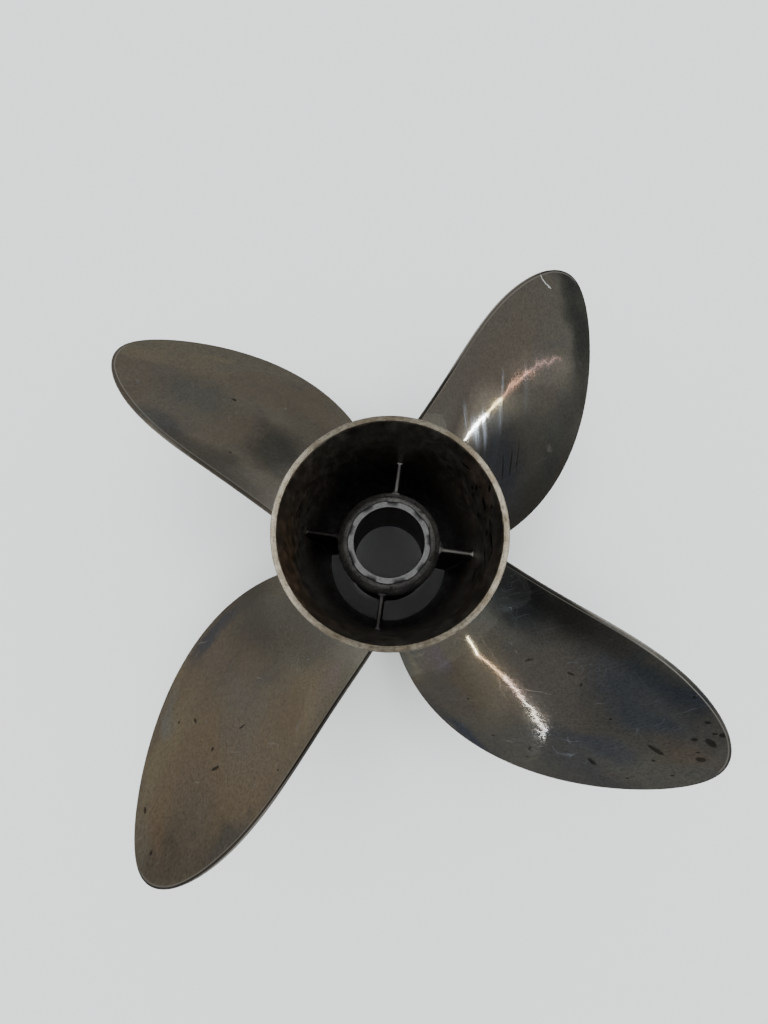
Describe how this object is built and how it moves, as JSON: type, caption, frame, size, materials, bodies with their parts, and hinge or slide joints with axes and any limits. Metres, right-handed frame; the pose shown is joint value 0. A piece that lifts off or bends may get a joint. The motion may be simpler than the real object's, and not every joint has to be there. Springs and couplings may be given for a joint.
{
  "type": "boat propeller",
  "caption": "Right-hand stainless steel boat propeller with raked, cupped blades on a hollow through-hub-exhaust barrel.",
  "frame": {"origin": "on the shaft axis at the front end of the hub, which is the floor it stands on", "axes": "+Z aft along the shaft axis, +Y towards the far side of the picture's bench, +X to the picture's right"},
  "size_m": [0.3092, 0.3092, 0.184],
  "materials": {
    "hub_shell": "tarnished stainless steel with a worn brighter rim",
    "hub_core": "rough cast stainless steel with a machined land",
    "webs": "rough cast stainless steel, stained by exhaust",
    "blades": "worn polish, brown and blue-grey tarnish"
  },
  "bodies": {
    "root": {"outer_hub": "hub_shell", "inner_hub": "hub_core", "web_1": "webs", "web_2": "webs", "web_3": "webs", "web_4": "webs", "blade_1": "blades", "blade_2": "blades", "blade_3": "blades", "blade_4": "blades"}
  },
  "joints": []
}
